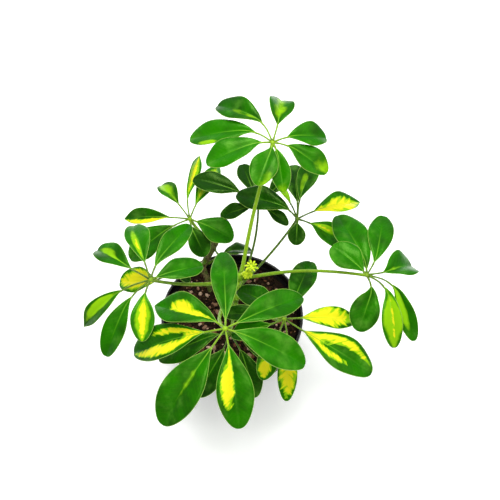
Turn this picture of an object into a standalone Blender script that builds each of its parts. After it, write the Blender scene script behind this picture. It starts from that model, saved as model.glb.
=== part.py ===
"""Potted umbrella plant: a variegated dwarf schefflera in a low nursery pot.

The pot stands on Z = 0 with the centre of its base at the origin, +Z is up and -Y is the plant's front.
Lengths in the tables are millimetres and angles are degrees; the meshes are made in metres.
An azimuth is counted from +X towards +Y, and a pitch is positive upwards.
"""

from math import cos, pi, radians, sin
from typing import NamedTuple

import bmesh
import bpy
from mathutils import Vector

MM = 0.001
GAP = 0.3  # clearance between pieces that touch in the real plant

# nursery pot
POT_HEIGHT = 76.0
RIM_RADIUS = 65.0
RIM_BAND = 13.0
RIM_STEP = 2.6  # how far the band stands proud of the body below it
BASE_RADIUS = 41.0
POT_WALL = 1.5
FOOT_HEIGHT = 2.0
PAD_RADIUS = 12.0  # flat pad in the middle of the base, level with the foot ring
FOOT_WIDTH = 8.0
POT_STEPS = 48
RIM_ROUNDING = 0.9
SHELF_DROP = 1.0  # height of the sloping shelf under the rim band
KNEE_HEIGHT = 8.0  # where the inner wall turns in to the base
DRAIN_HOLES = 6
DRAIN_RADIUS = 4.0
DRAIN_CIRCLE = 22.5
HOLE_SIDES = 12
HOLE_DEPTH = 12.0  # long enough to pass right through the base

# soil
SOIL_DEPTH_BELOW_RIM = 11.0
SOIL_CROWN = 1.6  # how much the soil stands higher round the stems
SOCKET_DEPTH = 16.0

# stems and stalks
MAIN_STEM = ((0, 0), (2, -1), (5, -2.5), (8, -4))  # plan positions, foot to top
MAIN_STEM_SHARES = (0.0, 0.35, 0.7, 1.0)  # heights of those positions above the soil
MAIN_STEM_TOP = 161.0
MAIN_STEM_RADII = (3.6, 3.4, 3.1, 2.9)
SIDE_STEM = ((-21, 31, 66), (-23.5, 37, 76), (-27, 45, 88), (-21, 49, 102), (-14, 52, 123))
SIDE_STEM_RADII = (2.6, 2.6, 3.2, 3.4, 2.9)
STEM_CLEARANCE = 3.4  # distance from a stem's axis that clears its bark at any node
STALK_SIDES = 8
HUB_RADIUS = 2.4
LEAFLET_STALK_RADIUS = 0.9
BLADE_THICKNESS = 1.0  # at the midrib; it thins out to the margin
MARGIN_STATIONS = (0.0, 0.14, 0.32, 0.52, 0.70, 0.85, 0.95, 1.0)
WIDTH_SKEW = 1.28  # over 1 moves the widest place from the middle towards the tip
WIDTH_FULLNESS = 0.68  # under 1 rounds the outline out
END_WIDTH = 0.16  # share of the full width where the rounded tip is closed
CREASE_ANGLE = 40.0
WELD_DISTANCE = 1e-6  # metres


class Leaflet(NamedTuple):
    """One blade of a compound leaf, on its own little stalk."""

    azimuth: float  # the stalk's
    turn: float  # how far the blade swings sideways off its stalk
    pitch: float  # of the line from hub to tip
    stalk: float
    length: float
    width: float
    droop: float = 22.0  # how far the leaflet bends down from hub to tip
    fold: float = 14.0  # how far each half is raised about the midrib
    roll: float = 0.0  # turn about its own axis, positive lifts the side left of the tip


class Leaf(NamedTuple):
    """A compound leaf: a petiole that leaves a stem and a whorl of leaflets on its hub."""

    name: str
    node: tuple  # where the petiole leaves the stem's axis
    hub: tuple
    radii: tuple  # of the petiole at the stem and at the hub
    arrive: float  # pitch of the petiole where it meets the hub
    bow: float  # how far the petiole's middle swings to the left of its run
    leaflets: tuple


LEAVES = (
    Leaf("top", (7.7, -3.8, 158), (34.5, 68, 250), (1.8, 1.35), 56, 2.2, (
        Leaflet(111, 32, -12, 19, 52, 24, 46, 16, -6),
        Leaflet(71, 13, -2, 14, 34, 24, 80, 24, 14),
        Leaflet(20, -10, -10, 12, 35, 25, 48),
        Leaflet(-10, -22, -14, 11, 40, 22, 28, 14, 8),
        Leaflet(-64, -18, -18, 5, 38, 17, 22, 20),
        Leaflet(-99, -10, -4, 4, 38, 23, 24, 10),
        Leaflet(177, 21, -12, 8, 49, 28, 24, 10, 6),
        Leaflet(137, 36, -18, 17, 61, 26, 30, 10))),
    Leaf("upper_left", (-15.5, 51.6, 118), (-37, 60, 146), (1.7, 1.3), 66, 0, (
        Leaflet(100, -20, -9, 17, 63, 12, 34, 26, 30),
        Leaflet(131, -8, -4, 16, 34, 18, 76, 24),
        Leaflet(174, -4, -14, 17, 47, 17, 36, 22, -14),
        Leaflet(-162, 14, -20, 15, 50, 29, 24, 14),
        Leaflet(-79, 19, -30, 6, 30, 21, 24),
        Leaflet(-25, 0, -8, 6, 37, 26, 30, 10),
        Leaflet(74, -4, -14, 15, 59, 18, 22))),
    Leaf("upper_right", (5.8, -2.9, 136), (57, 46.5, 168), (1.2, 0.9), 42, 0, (
        Leaflet(125, 32, -8, 10, 53, 26, 22, 8),
        Leaflet(110, 13, 4, 14, 30, 9, 26, 26, 20),
        Leaflet(88, 5, -8, 16, 47, 21, 22),
        Leaflet(84, -14, 2, 17, 43, 20, 36, 22),
        Leaflet(22, -2, -6, 15, 47, 24, 50, 14, -8),
        Leaflet(-16, -12, -16, 11, 36, 22, 24),
        Leaflet(-93, 0, -22, 3, 20, 16, 24))),
    Leaf("right", (7.6, -3.8, 155), (111, -20.5, 190), (1.6, 1.2), 14, 4, (
        Leaflet(88, 22, -12, 4, 67, 28, 22, 10),
        Leaflet(128, 8, -2, 3, 36, 26, 22, 10),
        Leaflet(59, 19, -8, 12, 54, 22, 22, 10),
        Leaflet(6, 25, -20, 13, 36, 28, 64, 22),
        Leaflet(-66, -45, -25, 9, 39, 25, 24),
        Leaflet(-31, -52, -24, 16, 52, 18, 50, 20, 10),
        Leaflet(-13, -54, -24, 20, 52, 16, 46, 18, 24))),
    Leaf("left", (6.7, -3.3, 150), (-62.5, -33, 205), (1.7, 1.3), 50, 0, (
        Leaflet(155, -14, -8, 17, 42, 22, 66, 22),
        Leaflet(110, -4, -8, 14, 46, 22, 56, 20),
        Leaflet(77, -19, -8, 11, 54, 20, 24, 12),
        Leaflet(27, -5, -10, 4, 41, 23, 24, 10, -8),
        Leaflet(-163, 15, -26, 23, 48, 18, 56, 20),
        Leaflet(-139, 22, -26, 19, 54, 20, 50, 18),
        Leaflet(-109, 18, -12, 11, 40, 20, 30, 16))),
    Leaf("front", (6.9, -3.5, 152), (-2.5, -83, 220), (1.6, 1.3), 62, -9, (
        Leaflet(88, 5, -12, 6, 72, 22, 24, 12),
        Leaflet(136, 19, -20, 8, 62, 29, 28, 14),
        Leaflet(180, -1, -32, 16, 71, 29, 26, 12, -10),
        Leaflet(-125, -2, -22, 17, 70, 33, 30, 10),
        Leaflet(-78, -4, -22, 12, 64, 29, 28, 12),
        Leaflet(-15, -5, -18, 6, 62, 29, 28, 10),
        Leaflet(30, 0, -12, 9, 62, 25, 22, 14))),
    Leaf("lower_right", (5.2, -2.6, 126), (44.5, -48, 165), (1.6, 1.2), 66, 0, (
        Leaflet(65, 5, -12, 12, 56, 23, 22),
        Leaflet(2, 0, -8, 13, 47, 21, 36),
        Leaflet(-35, 7, -12, 18, 66, 31, 28, 10),
        Leaflet(-80, -12, -25, 15, 52, 17, 24, 16),
        Leaflet(-113, 0, -27, 13, 40, 19, 24),
        Leaflet(123, 17, -18, 9, 47, 22, 22),
        Leaflet(165, 6, -10, 11, 42, 16, 20),
        Leaflet(-162, -11, -20, 11, 36, 18, 20))),
    Leaf("back", (5.4, -2.7, 129), (24, 70.5, 154), (1.2, 0.9), 58, -3, (
        Leaflet(144, 15, -2, 19, 47, 23, 22, 10),
        Leaflet(-162, -7, -14, 6, 30, 16, 20),
        Leaflet(-31, -3, -14, 7, 25, 12, 20),
        Leaflet(111, -4, -5, 11, 37, 18, 20),
        Leaflet(48, 4, -8, 12, 34, 16, 20))),
    Leaf("lower_front", (4.2, -2.1, 112), (-1, -52.5, 148), (1.6, 1.2), 64, 0, (
        Leaflet(-175, 14, -15, 8, 56, 25, 24, 10),
        Leaflet(-107, -16, -20, 13, 46, 26, 26, 10),
        Leaflet(-54, -18, -20, 16, 42, 22, 24),
        Leaflet(-20, -4, -20, 9, 36, 18, 22))),
    Leaf("lower_left", (-24.2, 47.0, 96), (-50.5, -1, 158), (1.4, 1.1), 60, 0, (
        Leaflet(-150, -38, -15, 12, 36, 26, 24, 12),
        Leaflet(40, 0, -14, 5, 13, 9, 22),
        Leaflet(-14, 0, -24, 5, 13, 9, 22))),
    Leaf("low_back", (-26.0, 45.8, 90), (-12, 49.5, 98), (1.2, 0.9), 40, 0, (
        Leaflet(28, -24, 2, 5, 27, 22, 60, 8, -30),
        Leaflet(121, 0, -8, 5, 20, 10, 20),
        Leaflet(-88, 0, -14, 5, 20, 10, 20))),
)

# the young shoot beside the stem's top: an open star of tiny leaflets over a hanging cluster
SHOOT_STAR_HUB = (17.5, -2.5, 171)
SHOOT_STAR_ARMS = 9
SHOOT_HANGING_HUB = (14.0, -4.5, 167.5)
SHOOT_HANGING_ARMS = 5
SHOOT_FOOT = (11.0, -4.6, 164.6)
SHOOT_HUB_RADIUS = 1.2
SHOOT_LINK_RADII = (0.9, 1.1, 0.9)

COLOURS = {
    "pot": (0.018, 0.017, 0.020),
    "soil": (0.030, 0.017, 0.010),
    "green_stem": (0.30, 0.42, 0.07),
    "woody_stem": (0.16, 0.15, 0.05),
    "petiole": (0.28, 0.45, 0.04),
    "leaf": (0.030, 0.26, 0.008),
    "shoot": (0.55, 0.70, 0.05),
}
ROUGHNESS = {"pot": 0.45, "soil": 0.95, "leaf": 0.32}


def metres(point):
    return Vector(point) * MM


def heading(azimuth, pitch):
    """Unit vector that points along an azimuth and a pitch in degrees."""
    turn, rise = radians(azimuth), radians(pitch)
    return Vector((cos(rise) * cos(turn), cos(rise) * sin(turn), sin(rise)))


def clear_scene():
    for thing in list(bpy.data.objects):
        bpy.data.objects.remove(thing, do_unlink=True)


def make_collection(name):
    collection = bpy.data.collections.new(name)
    bpy.context.scene.collection.children.link(collection)
    return collection


def make_material(name):
    material = bpy.data.materials.new(name)
    material.use_nodes = True
    shader = material.node_tree.nodes["Principled BSDF"]
    shader.inputs["Base Color"].default_value = (*COLOURS[name], 1.0)
    shader.inputs["Roughness"].default_value = ROUGHNESS.get(name, 0.5)
    shader.inputs["Metallic"].default_value = 0.0
    return material


def add_object(name, mesh, collection, material=None):
    thing = bpy.data.objects.new(name, mesh)
    collection.objects.link(thing)
    if material:
        mesh.materials.clear()
        mesh.materials.append(material)
    return thing


def smooth(mesh):
    mesh.shade_smooth()
    mesh.set_sharp_from_angle(angle=radians(CREASE_ANGLE))


def mark_cutter(thing):
    thing.hide_render = True
    thing.display_type = "WIRE"


def turned(name, outline, collection, material=None):
    """A closed outline of (radius, height) turned about Z; it runs down its outer side."""
    bm = bmesh.new()
    points = [bm.verts.new((radius * MM, 0.0, height * MM)) for radius, height in outline]
    for start, end in zip(points, points[1:] + points[:1]):
        if start.co.x > 0.0 or end.co.x > 0.0:
            bm.edges.new((start, end))
    mesh = bpy.data.meshes.new(name)
    bm.to_mesh(mesh)
    bm.free()
    thing = add_object(name, mesh, collection, material)
    screw = thing.modifiers.new("turn", "SCREW")
    screw.steps = screw.render_steps = POT_STEPS
    screw.use_merge_vertices = True
    screw.merge_threshold = 10 * WELD_DISTANCE
    return thing


def plain_mesh(thing, collection, material=None):
    """The evaluated mesh of a curve, welded, as a mesh object in the curve's place."""
    evaluated = thing.evaluated_get(bpy.context.evaluated_depsgraph_get())
    mesh = bpy.data.meshes.new_from_object(evaluated)
    bm = bmesh.new()
    bm.from_mesh(mesh)
    bmesh.ops.remove_doubles(bm, verts=bm.verts, dist=WELD_DISTANCE)
    bm.to_mesh(mesh)
    bm.free()
    name, place = thing.name, thing.matrix_world.copy()
    bpy.data.objects.remove(thing, do_unlink=True)
    made = add_object(name, mesh, collection, material)
    made.matrix_world = place
    return made


def add_boolean(thing, other, operation):
    boolean = thing.modifiers.new(operation.lower(), "BOOLEAN")
    boolean.operation = operation
    boolean.object = other
    boolean.solver = "EXACT"


def tube(name, points, radii, collection, material=None):
    """A round, tapering rod along a list of points in millimetres."""
    curve = bpy.data.curves.new(name, "CURVE")
    curve.dimensions = "3D"
    curve.bevel_depth = MM
    curve.bevel_resolution = STALK_SIDES // 4
    curve.use_fill_caps = True
    spline = curve.splines.new("POLY")
    spline.points.add(len(points) - 1)
    for spot, point, radius in zip(spline.points, points, radii):
        spot.co = (*metres(point), 1.0)
        spot.radius = radius
    thing = bpy.data.objects.new(name, curve)
    collection.objects.link(thing)
    bpy.context.view_layer.update()
    rod = plain_mesh(thing, collection, material)
    smooth(rod.data)
    return rod


def wall_radius(height):
    """Outer radius of the pot's tapering body at a height."""
    top = RIM_RADIUS - RIM_STEP
    return BASE_RADIUS + (top - BASE_RADIUS) * height / (POT_HEIGHT - RIM_BAND)


def build_pot(collection, cutters, material):
    """Thin moulded pot: rolled rim band, tapering wall, a foot ring and drain holes."""
    band_foot = POT_HEIGHT - RIM_BAND
    shelf = band_foot - SHELF_DROP
    floor_top = FOOT_HEIGHT + POT_WALL
    outline = (
        (RIM_RADIUS - POT_WALL - 0.6, POT_HEIGHT - 0.3),
        (RIM_RADIUS - RIM_ROUNDING, POT_HEIGHT),
        (RIM_RADIUS, POT_HEIGHT - RIM_ROUNDING),
        (RIM_RADIUS - 0.7, band_foot),
        (RIM_RADIUS - 1.6, band_foot - 0.8),
        (wall_radius(shelf), shelf),
        (wall_radius(4.0), 4.0),
        (BASE_RADIUS, 1.2),
        (BASE_RADIUS - 1.2, 0.0),
        (BASE_RADIUS - FOOT_WIDTH, 0.0),
        (BASE_RADIUS - FOOT_WIDTH - 1.5, FOOT_HEIGHT),
        (PAD_RADIUS + 1.5, FOOT_HEIGHT),
        (PAD_RADIUS, 0.0),
        (0.0, 0.0),
        (0.0, floor_top),
        (BASE_RADIUS - 3.0, floor_top),
        (wall_radius(KNEE_HEIGHT) - POT_WALL, KNEE_HEIGHT),
        (wall_radius(shelf) - POT_WALL, shelf + 1.0),
        (RIM_RADIUS - POT_WALL - 1.0, band_foot + 2.5),
    )
    pot = turned("nursery_pot", outline, collection, material)
    for number in range(DRAIN_HOLES):
        turn = 2 * pi * (number + 0.5) / DRAIN_HOLES
        bm = bmesh.new()
        bmesh.ops.create_cone(bm, cap_ends=True, segments=HOLE_SIDES, radius1=DRAIN_RADIUS * MM,
                              radius2=DRAIN_RADIUS * MM, depth=HOLE_DEPTH * MM)
        mesh = bpy.data.meshes.new(f"drain_cutter_{number + 1}")
        bm.to_mesh(mesh)
        bm.free()
        cutter = add_object(mesh.name, mesh, cutters)
        cutter.location = metres((DRAIN_CIRCLE * cos(turn), DRAIN_CIRCLE * sin(turn), FOOT_HEIGHT))
        mark_cutter(cutter)
        add_boolean(pot, cutter, "DIFFERENCE")


def build_soil(collection, cutters, material):
    """Soil that fills the pot to just below the rim, with a socket round each stem's foot."""
    surface = POT_HEIGHT - SOIL_DEPTH_BELOW_RIM
    bottom = FOOT_HEIGHT + POT_WALL + GAP
    clear = POT_WALL + GAP
    neck = POT_HEIGHT - RIM_BAND - SHELF_DROP
    outline = (
        (0.0, surface + SOIL_CROWN),
        (24.0, surface + 0.8 * SOIL_CROWN),
        (46.0, surface + 0.2),
        (wall_radius(neck) - clear - 0.6, neck + 0.5),
        (wall_radius(KNEE_HEIGHT) - clear - 0.2, KNEE_HEIGHT + 0.5),
        (BASE_RADIUS - 3.8, bottom),
        (0.0, bottom),
    )
    soil = turned("potting_soil", outline, collection, material)
    for name, foot, radius in (
        ("main_socket", (*MAIN_STEM[0], surface), MAIN_STEM_RADII[0]),
        ("side_socket", SIDE_STEM[0], SIDE_STEM_RADII[0]),
    ):
        bm = bmesh.new()
        socket = (radius + 2 * GAP) * MM
        bmesh.ops.create_cone(bm, cap_ends=True, segments=HOLE_SIDES, radius1=socket,
                              radius2=socket, depth=2 * SOCKET_DEPTH * MM)
        mesh = bpy.data.meshes.new(name)
        bm.to_mesh(mesh)
        bm.free()
        cutter = add_object(name, mesh, cutters)
        cutter.location = metres((foot[0], foot[1], surface))
        mark_cutter(cutter)
        add_boolean(soil, cutter, "DIFFERENCE")


def build_stems(collection, materials):
    """The green main stem and the woody, kinked side stem, each rooted in its socket."""
    surface = POT_HEIGHT - SOIL_DEPTH_BELOW_RIM
    foot = surface - SOCKET_DEPTH + 2.0
    rises = [surface + (MAIN_STEM_TOP - surface) * share for share in MAIN_STEM_SHARES]
    main = [(*MAIN_STEM[0], foot)] + [(*plan, rise) for plan, rise in zip(MAIN_STEM, rises)]
    tube("main_stem", main, (MAIN_STEM_RADII[0], *MAIN_STEM_RADII), collection,
         materials["green_stem"])
    side = [(*SIDE_STEM[0][:2], foot)] + list(SIDE_STEM)
    tube("side_stem", side, (SIDE_STEM_RADII[0], *SIDE_STEM_RADII), collection,
         materials["woody_stem"])


def hermite(start, end, leave, arrive, share):
    """Point on the smooth curve between two points with the given end directions."""
    a = 2 * share**3 - 3 * share**2 + 1
    b = share**3 - 2 * share**2 + share
    c = 3 * share**2 - 2 * share**3
    d = share**3 - share**2
    return a * start + b * leave + c * end + d * arrive


def petiole_points(leaf, steps=8):
    """Centre line of a leaf's petiole, from just outside the stem to just under the hub."""
    node, hub = Vector(leaf.node), Vector(leaf.hub)
    span = hub - node
    run = Vector((span.x, span.y, 0.0)).normalized()
    slope = span.normalized().z
    start = node + run * (STEM_CLEARANCE + leaf.radii[0] * max(slope, 0.2) + GAP)
    rise = radians(leaf.arrive)
    arrive = Vector((run.x * cos(rise), run.y * cos(rise), sin(rise)))
    end = hub - arrive * (HUB_RADIUS + GAP + 0.2)
    reach = (end - start).length
    leave = (2 * (end - start) / reach - arrive).normalized()
    left = Vector((-run.y, run.x, 0.0))
    points = []
    for step in range(steps + 1):
        share = step / steps
        point = hermite(start, end, leave * reach, arrive * reach, share)
        points.append(point + left * leaf.bow * sin(pi * share))
    return points


def leaflet_spine(leaflet, hub):
    """Stations along a leaflet: centre, azimuth, pitch and share of the blade's length."""
    whole = leaflet.stalk + leaflet.length
    swing_start = 0.5 * leaflet.stalk
    swing_length = 0.5 * leaflet.stalk + 0.25 * leaflet.length

    def direction(walked):
        swung = min(1.0, max(0.0, (walked - swing_start) / swing_length))
        pitch = leaflet.pitch + leaflet.droop * (0.5 - walked / whole)
        return leaflet.azimuth + leaflet.turn * swung, pitch

    stops = [0.0, leaflet.stalk * 0.5]
    stops += [leaflet.stalk + leaflet.length * share for share in MARGIN_STATIONS]
    stations = []
    centre = Vector(hub)
    walked = 0.0
    for stop in stops:
        while walked < stop - 1e-6:
            step = min(1.0, stop - walked)
            centre = centre + heading(*direction(walked + step / 2)) * step
            walked += step
        share = max(0.0, (stop - leaflet.stalk) / leaflet.length)
        stations.append((centre.copy(), *direction(stop), share))
    return stations


def half_width(leaflet, share):
    """Half the blade's width at a share of its length: wedge-shaped foot, rounded tip."""
    swell = sin(pi * min(share, 0.999) ** WIDTH_SKEW) ** WIDTH_FULLNESS
    return 0.5 * leaflet.width * max(swell, END_WIDTH if share > 0.5 else 0.0)


def build_leaflet(name, leaflet, hub, collection):
    """Loft of four-sided sections: a thin round-ish stalk that opens into a folded blade."""
    bm = bmesh.new()
    rings = []
    for centre, azimuth, pitch, share in leaflet_spine(leaflet, hub):
        side = heading(azimuth + 90.0, 0.0)
        up = heading(azimuth, pitch).cross(side)
        roll = radians(leaflet.roll) * min(1.0, share * 3.0)
        across = side * cos(roll) + up * sin(roll)
        normal = up * cos(roll) - side * sin(roll)
        half = max(half_width(leaflet, share), LEAFLET_STALK_RADIUS)
        fold = radians(leaflet.fold) if half > 2 * LEAFLET_STALK_RADIUS else 0.0
        thick = LEAFLET_STALK_RADIUS if share == 0.0 else BLADE_THICKNESS / 2
        lift = normal * half * sin(fold)
        reach = across * half * cos(fold)
        corners = (centre + reach + lift, centre + normal * thick,
                   centre - reach + lift, centre - normal * thick)
        rings.append([bm.verts.new(corner * MM) for corner in corners])
    for lower, upper in zip(rings, rings[1:]):
        for corner in range(4):
            following = (corner + 1) % 4
            bm.faces.new((lower[corner], lower[following], upper[following], upper[corner]))
    bm.faces.new(rings[0])
    bm.faces.new(rings[-1])
    bmesh.ops.recalc_face_normals(bm, faces=bm.faces)
    mesh = bpy.data.meshes.new(name)
    bm.to_mesh(mesh)
    bm.free()
    return add_object(name, mesh, collection)


def build_whorl(name, hub, hub_radius, leaflets, collection, cutters, material):
    """A hub with its leaflets joined to it as one body."""
    bm = bmesh.new()
    bmesh.ops.create_icosphere(bm, subdivisions=1, radius=hub_radius * MM)
    bmesh.ops.translate(bm, verts=bm.verts, vec=metres(hub))
    mesh = bpy.data.meshes.new(name)
    bm.to_mesh(mesh)
    bm.free()
    whorl = add_object(name, mesh, collection, material)
    for number, leaflet in enumerate(leaflets, start=1):
        blade = build_leaflet(f"{name}_blade_{number}", leaflet, hub, cutters)
        mark_cutter(blade)
        add_boolean(whorl, blade, "UNION")
    return whorl


def build_leaf(leaf, collection, cutters, materials):
    """One petiole and one whorl of leaflets."""
    points = petiole_points(leaf)
    first, last = leaf.radii
    radii = [first + (last - first) * step / (len(points) - 1) for step in range(len(points))]
    tube(f"petiole_{leaf.name}", points, radii, collection, materials["petiole"])
    build_whorl(f"leaflets_{leaf.name}", leaf.hub, HUB_RADIUS, leaf.leaflets, collection, cutters,
                materials["leaf"])


def build_young_shoot(collection, cutters, material):
    """Two tiny unopened leaves at the growing tip, joined as one body."""
    star = [Leaflet(40 * number + 10, 0, 20 - 6 * (number % 3), 1.6, 3.6 + 0.5 * (number % 3), 1.7,
                    30, 6) for number in range(SHOOT_STAR_ARMS)]
    hanging = [Leaflet(-150 + 38 * number, 0, -50 + 8 * (number % 2), 1.2, 5.6, 2.6, 20, 10)
               for number in range(SHOOT_HANGING_ARMS)]
    whorl = build_whorl("young_shoot", SHOOT_STAR_HUB, SHOOT_HUB_RADIUS, star, collection, cutters,
                        material)
    link = tube("young_shoot_link", (SHOOT_STAR_HUB, SHOOT_HANGING_HUB, SHOOT_FOOT),
                SHOOT_LINK_RADII, cutters)
    mark_cutter(link)
    add_boolean(whorl, link, "UNION")
    for number, leaflet in enumerate(hanging, start=1):
        blade = build_leaflet(f"young_hanging_{number}", leaflet, SHOOT_HANGING_HUB, cutters)
        mark_cutter(blade)
        add_boolean(whorl, blade, "UNION")


def main():
    clear_scene()
    plant = make_collection("potted_umbrella_plant")
    cutters = make_collection("cutters")
    materials = {name: make_material(name) for name in COLOURS}
    build_pot(plant, cutters, materials["pot"])
    build_soil(plant, cutters, materials["soil"])
    build_stems(plant, materials)
    for leaf in LEAVES:
        build_leaf(leaf, plant, cutters, materials)
    build_young_shoot(plant, cutters, materials["shoot"])


main()
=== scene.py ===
"""Looks of a potted umbrella plant: a variegated dwarf schefflera in a low nursery pot.

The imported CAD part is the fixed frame. Every leaf, stalk and stem is grown again here on the same
centre lines with its fine shape, and the pot keeps its CAD body under a moulded-plastic finish.
Sizes in the classes are millimetres and angles are degrees; meshes are made in metres.
An azimuth is counted from +X towards +Y, and a pitch is positive upwards.
"""

import logging
import random
from abc import ABC, abstractmethod
from dataclasses import dataclass, field
from enum import Enum
from functools import partial
from math import cos, exp, pi, radians, sin, sqrt
from typing import Any, Callable, ClassVar

import bmesh
import bpy
from mathutils import Matrix, Vector, noise

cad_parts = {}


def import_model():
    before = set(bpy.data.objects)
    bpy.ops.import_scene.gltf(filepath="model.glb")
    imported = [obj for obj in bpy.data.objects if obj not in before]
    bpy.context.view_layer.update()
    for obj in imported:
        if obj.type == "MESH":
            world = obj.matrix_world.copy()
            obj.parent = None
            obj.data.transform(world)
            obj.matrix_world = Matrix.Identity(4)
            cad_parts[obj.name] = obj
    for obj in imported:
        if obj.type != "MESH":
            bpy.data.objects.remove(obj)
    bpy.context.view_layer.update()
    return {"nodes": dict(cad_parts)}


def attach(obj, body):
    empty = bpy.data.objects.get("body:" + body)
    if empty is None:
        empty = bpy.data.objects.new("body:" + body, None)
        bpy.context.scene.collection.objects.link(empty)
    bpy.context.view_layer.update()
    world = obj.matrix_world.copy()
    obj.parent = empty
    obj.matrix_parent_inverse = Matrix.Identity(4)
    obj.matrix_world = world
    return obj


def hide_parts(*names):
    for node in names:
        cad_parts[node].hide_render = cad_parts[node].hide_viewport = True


MM = 0.001
BODY = "root"
LOG = logging.getLogger("umbrella_plant")

BLADE_MM = "blade_mm"  # along the leaflet, across it, and a number of its own
BLADE_PATTERN = "blade_pattern"  # yellow field, lime field, darkness of the green
BLADE_SHAPE = "blade_shape"  # share of the length, share of the half width, distance to the margin
STALK_TONE = "stalk_tone"  # how dark and olive a stalk is, and the place along it
CRUMB_TONE = "crumb_tone"  # how light a crumb of soil is

SMOOTH = {"interpolation_type": "SMOOTHSTEP"}  # a Map Range without corners
COLOURS = {"data_type": "RGBA"}  # a Mix of two colours
NodeAdder = Callable[..., bpy.types.NodeSocket]


# ---------------------------------------------------------------- small tools


def metres(point: Any) -> Vector:
    """A point in millimetres as a vector in metres."""
    return Vector(point) * MM


def heading(azimuth: float, pitch: float) -> Vector:
    """Unit vector that points along an azimuth and a pitch in degrees."""
    turn, rise = radians(azimuth), radians(pitch)
    return Vector((cos(rise) * cos(turn), cos(rise) * sin(turn), sin(rise)))


def smoothstep(low: float, high: float, value: float) -> float:
    """0 below low, 1 above high and a smooth ramp between them."""
    share = min(1.0, max(0.0, (value - low) / (high - low)))
    return share * share * (3.0 - 2.0 * share)


def mix(start: float, end: float, share: float) -> float:
    """The number that lies a share of the way from start to end."""
    return start + (end - start) * share


def bell(place: float, centre: float, width: float) -> float:
    """A smooth swelling that is 1 at its centre and fades out over its width."""
    return exp(-((place - centre) / width) ** 2)


def colour(code: str) -> tuple[float, float, float, float]:
    """An sRGB hex value as the linear colour that a shader socket takes.

    Args:
        code: six hexadecimal digits, red first.

    Returns:
        Linear red, green and blue, and an alpha of 1.
    """
    linear = []
    for start in (0, 2, 4):
        value = int(code[start:start + 2], 16) / 255
        linear.append(value / 12.92 if value <= 0.04045 else ((value + 0.055) / 1.055) ** 2.4)
    return (*linear, 1.0)


def feed(tree: bpy.types.NodeTree, socket: bpy.types.NodeSocket, value: Any) -> None:
    """Fills one input of a shader node.

    Args:
        tree: the material's node tree.
        socket: the input.
        value: a socket to link, a number or hex colour to set, or None to leave it as it is.
    """
    if isinstance(value, bpy.types.NodeSocket):
        tree.links.new(value, socket)
    elif value is not None:
        socket.default_value = colour(value) if isinstance(value, str) else value


def add_node(tree: bpy.types.NodeTree, kind: str, *values: Any, output: str | None = None,
             **settings: Any) -> bpy.types.NodeSocket:
    """Adds a shader node with its settings and links.

    Args:
        tree: the material's node tree.
        kind: the node's type without its ShaderNode prefix.
        values: what feeds its inputs, in the order in which the node shows them.
        output: name of the wanted output, unless it is the first that the node shows.
        settings: properties of the node, by name.

    Returns:
        The wanted output.
    """
    node = tree.nodes.new("ShaderNode" + kind)
    for name, value in settings.items():
        setattr(node, name, value)
    shown = [socket for socket in node.inputs if socket.enabled]
    for socket, value in zip(shown, values):
        feed(tree, socket, value)
    return node.outputs[output] if output else next(out for out in node.outputs if out.enabled)


def place_piece(name: str, bm: bmesh.types.BMesh, materials: list[bpy.types.Material],
                replaced: str | None = None) -> None:
    """Turns a finished bmesh into a piece that rides on the plant.

    Args:
        name: the piece's name.
        bm: its mesh, in metres and in place; it is freed here.
        materials: the finishes, in the order of the faces' material numbers.
        replaced: the CAD node that this piece stands for.
    """
    mesh = bpy.data.meshes.new(name)
    for face in bm.faces:
        face.smooth = True
    bm.to_mesh(mesh)
    bm.free()
    for material in materials:
        mesh.materials.append(material)
    piece = bpy.data.objects.new(name, mesh)
    bpy.context.scene.collection.objects.link(piece)
    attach(piece, BODY)
    if replaced:
        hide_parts(replaced)
    LOG.info("%s: %d faces", name, len(mesh.polygons))


def frames_along(points: list[Vector]) -> list[Matrix]:
    """Turning frames along a line, carried from one to the next without a twist.

    Args:
        points: the line's points.

    Returns:
        A rotation for each point, whose Z axis follows the line.
    """
    frames = []
    for index in range(len(points)):
        ahead = points[min(index + 1, len(points) - 1)] - points[max(index - 1, 0)]
        ahead.normalize()
        if frames:
            turn = frames[-1].col[2].rotation_difference(ahead).to_matrix()
            frames.append(turn @ frames[-1])
        else:
            frames.append(Vector((0, 0, 1)).rotation_difference(ahead).to_matrix())
    return frames


def of_kind(items: list[Any], kind: type) -> list[Any]:
    """The items of one kind, such as the vertices that an operator has made."""
    return [item for item in items if isinstance(item, kind)]


def faces_round(verts: list[bmesh.types.BMVert]) -> list[bmesh.types.BMFace]:
    """Every face that has one of the vertices, once and in a fixed order."""
    return list(dict.fromkeys(face for vert in verts for face in vert.link_faces))


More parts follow.
